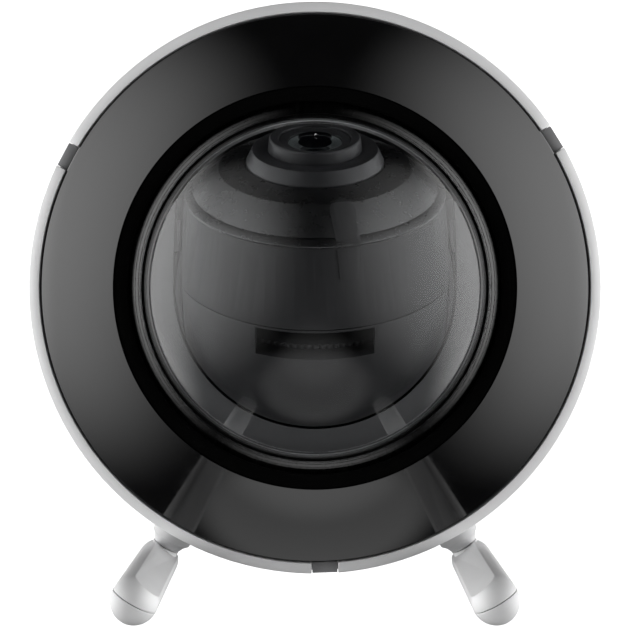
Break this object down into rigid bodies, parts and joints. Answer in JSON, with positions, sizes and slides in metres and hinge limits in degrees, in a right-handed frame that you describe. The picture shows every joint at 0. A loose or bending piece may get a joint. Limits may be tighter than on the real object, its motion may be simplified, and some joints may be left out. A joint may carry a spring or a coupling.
{
  "type": "dome security camera",
  "caption": "Ceiling dome camera: round housing with a black conical front, clear dome over a head that pans, tilts and rolls, and swivelling stub antennas.",
  "frame": {"origin": "centre of the flat mounting face, on the dome's axis", "axes": "+Z runs out of the mounting face along the dome's axis, +Y is the way the camera head looks at rest and away from the antennas, +X completes the right-handed set"},
  "size_m": [0.1507, 0.1557, 0.1095],
  "materials": {
    "white_shell": "fine satin moulded white",
    "antenna_plastic": "fine satin moulded white",
    "gloss_black": "polished, hides the lamps behind it",
    "dome_clear": "clear moulded, lightly reflective",
    "seal_rubber": "matte",
    "grey_plastic": "satin",
    "black_plastic": "satin moulded",
    "lens_grey": "smooth",
    "lens_glass": "coated",
    "screw_steel": "plain",
    "spring_steel": "plain",
    "plate_metal": "satin",
    "board_green": "solder mask",
    "chip_black": "moulded",
    "lamp_clear": "clear moulded",
    "heatsink_metal": "plain",
    "button_red": "moulded"
  },
  "bodies": {
    "housing": {"rear_housing": "white_shell", "trim_ring": "white_shell", "left_antenna_neck": "white_shell", "right_antenna_neck": "white_shell", "fascia_ring": "gloss_black", "dome_bubble": "dome_clear", "dome_seal": "seal_rubber", "housing_seal": "seal_rubber", "base_gasket": "seal_rubber", "cable_grommet": "seal_rubber", "lock_ring": "grey_plastic", "dome_retainer": "black_plastic", "inner_liner": "black_plastic", "cable_header": "black_plastic", "housing_screws": "screw_steel", "retainer_screws": "screw_steel", "pan_base_screws": "screw_steel", "board_screws": "screw_steel", "card_slot": "spring_steel", "mounting_plate": "plate_metal", "pan_base": "plate_metal", "main_board": "board_green", "infrared_board": "board_green", "processor": "chip_black", "board_capacitors": "chip_black", "reset_switch": "chip_black", "infrared_lamps": "lamp_clear", "heatsink": "heatsink_metal"},
    "pan": {"pan_yoke": "black_plastic", "pan_shroud": "black_plastic", "pan_clip": "spring_steel", "tilt_pivots": "screw_steel"},
    "head": {"head_rear_shell": "black_plastic", "head_middle_shell": "black_plastic", "head_front_shell": "black_plastic", "head_clip": "black_plastic"},
    "lens": {"adjust_ring": "black_plastic", "lens_carrier": "black_plastic", "roll_clip": "spring_steel", "lens_snout": "black_plastic", "lens_barrel": "black_plastic", "lens_ring": "black_plastic", "lens_cell": "lens_grey", "iris_ring": "lens_grey", "rear_glass": "lens_glass", "front_glass": "lens_glass", "sensor_board": "board_green", "sensor_chip": "chip_black"},
    "left_antenna": {"left_antenna_inner_shell": "antenna_plastic", "left_antenna_outer_shell": "antenna_plastic", "left_antenna_element": "board_green", "left_antenna_stem": "spring_steel", "left_antenna_clip": "spring_steel"},
    "right_antenna": {"right_antenna_inner_shell": "antenna_plastic", "right_antenna_outer_shell": "antenna_plastic", "right_antenna_element": "board_green", "right_antenna_stem": "spring_steel", "right_antenna_clip": "spring_steel"},
    "reset_plunger": {"reset_button": "button_red"}
  },
  "joints": [
    {"name": "pan_turn", "type": "hinge", "parent": "housing", "child": "pan", "pos_m": [0, 0, 0.0275], "axis": [0, 0, 1], "range_deg": [-175, 175]},
    {"name": "head_tilt", "type": "hinge", "parent": "pan", "child": "head", "pos_m": [0, 0, 0.0655], "axis": [1, 0, 0], "range_deg": [-18, 62]},
    {"name": "lens_roll", "type": "hinge", "parent": "head", "child": "lens", "pos_m": [0, 0, 0.0655], "axis": [0, 0.8829, 0.4695], "range_deg": [-90, 90]},
    {"name": "left_antenna_swivel", "type": "hinge", "parent": "housing", "child": "left_antenna", "pos_m": [-0.04295, -0.07439, 0.043], "axis": [-0.5, -0.866, 0], "range_deg": [-85, 85]},
    {"name": "right_antenna_swivel", "type": "hinge", "parent": "housing", "child": "right_antenna", "pos_m": [0.04295, -0.07439, 0.043], "axis": [0.5, -0.866, 0], "range_deg": [-85, 85]},
    {"name": "reset_press", "type": "slide", "parent": "housing", "child": "reset_plunger", "axis": [0, 0, -1], "range_m": [0, 0.0004], "stiffness_N_per_m": 300}
  ]
}
